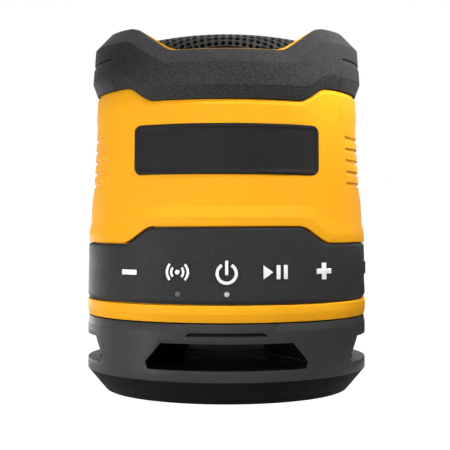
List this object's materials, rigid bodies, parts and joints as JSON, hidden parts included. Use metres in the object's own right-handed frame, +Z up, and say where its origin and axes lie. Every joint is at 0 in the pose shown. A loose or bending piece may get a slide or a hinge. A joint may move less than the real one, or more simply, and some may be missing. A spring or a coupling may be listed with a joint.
{
  "type": "bluetooth speaker",
  "caption": "Palm-size upright wireless speaker: domed grille, rubber bumper, tapered body with grip ribs, control band with keys, hinged port cover and vented base.",
  "frame": {"origin": "centre of the foot ring's underside", "axes": "+Z up, -Y towards the front with the keys, +X to the right seen from the front"},
  "size_m": [0.0926, 0.0926, 0.1164],
  "materials": {
    "yellow_plastic": "moulded, fine satin grain",
    "black_rubber": "matte, finely textured",
    "black_plastic": "moulded, satin",
    "grille_metal": "perforated sheet, black powder coat",
    "key_white": "satin white faces",
    "light_pipe": "frosted",
    "plate_black": "satin black, blank",
    "screw_steel": "zinc plated",
    "pressed_steel": "pressed and painted",
    "bright_steel": "turned and plated",
    "ferrite": "sintered, matte",
    "seal_foam": "soft foam",
    "cone_paper": "pressed fibre",
    "spider_cloth": "varnished cloth",
    "coil_copper": "enamelled wire",
    "board_green": "solder mask",
    "chip_black": "moulded",
    "cell_wrap": "metal can in a shrink sleeve",
    "wire_red": "smooth insulation",
    "ribbon_amber": "flexible film",
    "contact_brass": "plated"
  },
  "bodies": {
    "speaker_body": {"top_bumper": "black_rubber", "bumper_pads": "black_rubber", "bumper_screws": "screw_steel", "speaker_grille": "grille_metal", "main_housing": "yellow_plastic", "nameplate": "plate_black", "control_band": "black_rubber", "pair_light_pipe": "light_pipe", "power_light_pipe": "light_pipe", "port_cover_pin": "screw_steel", "usb_socket": "bright_steel", "usb_board": "board_green", "lower_trim_ring": "yellow_plastic", "base": "black_plastic", "base_belt": "black_plastic", "base_seal": "seal_foam", "base_screws": "screw_steel", "bottom_cover": "black_plastic", "bottom_cover_screws": "screw_steel", "foot_ring": "black_rubber", "driver_frame": "pressed_steel", "driver_gasket": "seal_foam", "driver_screws": "screw_steel", "driver_top_plate": "bright_steel", "driver_magnet": "ferrite", "driver_back_plate": "bright_steel", "driver_surround": "black_rubber", "driver_spider": "spider_cloth", "driver_terminals": "contact_brass", "radiator_frame": "black_plastic", "radiator_gasket": "seal_foam", "radiator_screws": "screw_steel", "radiator_surround": "black_rubber", "inner_chassis": "black_plastic", "chassis_screws": "screw_steel", "main_board": "board_green", "board_components": "chip_black", "board_screws": "screw_steel", "battery_cells": "cell_wrap", "battery_tabs": "bright_steel", "battery_board": "board_green", "switch_board": "board_green", "tact_switches": "bright_steel", "indicator_leds": "light_pipe", "speaker_wires": "wire_red", "battery_wires": "wire_red", "key_ribbon": "ribbon_amber"},
    "volume_down_key": {"key_volume_down": "key_white"},
    "pair_key": {"key_pair": "key_white"},
    "power_key": {"key_power": "key_white"},
    "play_key": {"key_play": "key_white"},
    "volume_up_key": {"key_volume_up": "key_white"},
    "port_flap": {"port_cover": "black_rubber"},
    "cone_assembly": {"driver_cone": "cone_paper", "dust_cap": "cone_paper", "voice_coil": "coil_copper"},
    "radiator_assembly": {"radiator_plate": "black_plastic", "radiator_weight": "bright_steel"}
  },
  "joints": [
    {"name": "volume_down_press", "type": "slide", "parent": "speaker_body", "child": "volume_down_key", "axis": [0.6401, 0.7683, 0], "range_m": [0, 0.0005], "stiffness_N_per_m": 400, "springref_m": -0.0008},
    {"name": "pair_press", "type": "slide", "parent": "speaker_body", "child": "pair_key", "axis": [0.3173, 0.9483, 0], "range_m": [0, 0.0005], "stiffness_N_per_m": 400, "springref_m": -0.0008},
    {"name": "power_press", "type": "slide", "parent": "speaker_body", "child": "power_key", "axis": [0, 1, 0], "range_m": [0, 0.0005], "stiffness_N_per_m": 400, "springref_m": -0.0008},
    {"name": "play_press", "type": "slide", "parent": "speaker_body", "child": "play_key", "axis": [-0.3173, 0.9483, 0], "range_m": [0, 0.0005], "stiffness_N_per_m": 400, "springref_m": -0.0008},
    {"name": "volume_up_press", "type": "slide", "parent": "speaker_body", "child": "volume_up_key", "axis": [-0.6401, 0.7683, 0], "range_m": [0, 0.0005], "stiffness_N_per_m": 400, "springref_m": -0.0008},
    {"name": "port_cover_hinge", "type": "hinge", "parent": "speaker_body", "child": "port_flap", "pos_m": [0.04428, 0.00858, 0.04], "axis": [0, 0, 1], "range_deg": [0, 95]},
    {"name": "cone_travel", "type": "slide", "parent": "speaker_body", "child": "cone_assembly", "axis": [0, 0, 1], "range_m": [-0.0012, 0.0012], "stiffness_N_per_m": 1600, "deforming": ["driver_surround", "driver_spider"]},
    {"name": "radiator_travel", "type": "slide", "parent": "speaker_body", "child": "radiator_assembly", "axis": [0, 0, 1], "range_m": [-0.0015, 0.0015], "stiffness_N_per_m": 2000, "deforming": ["radiator_surround"]}
  ]
}
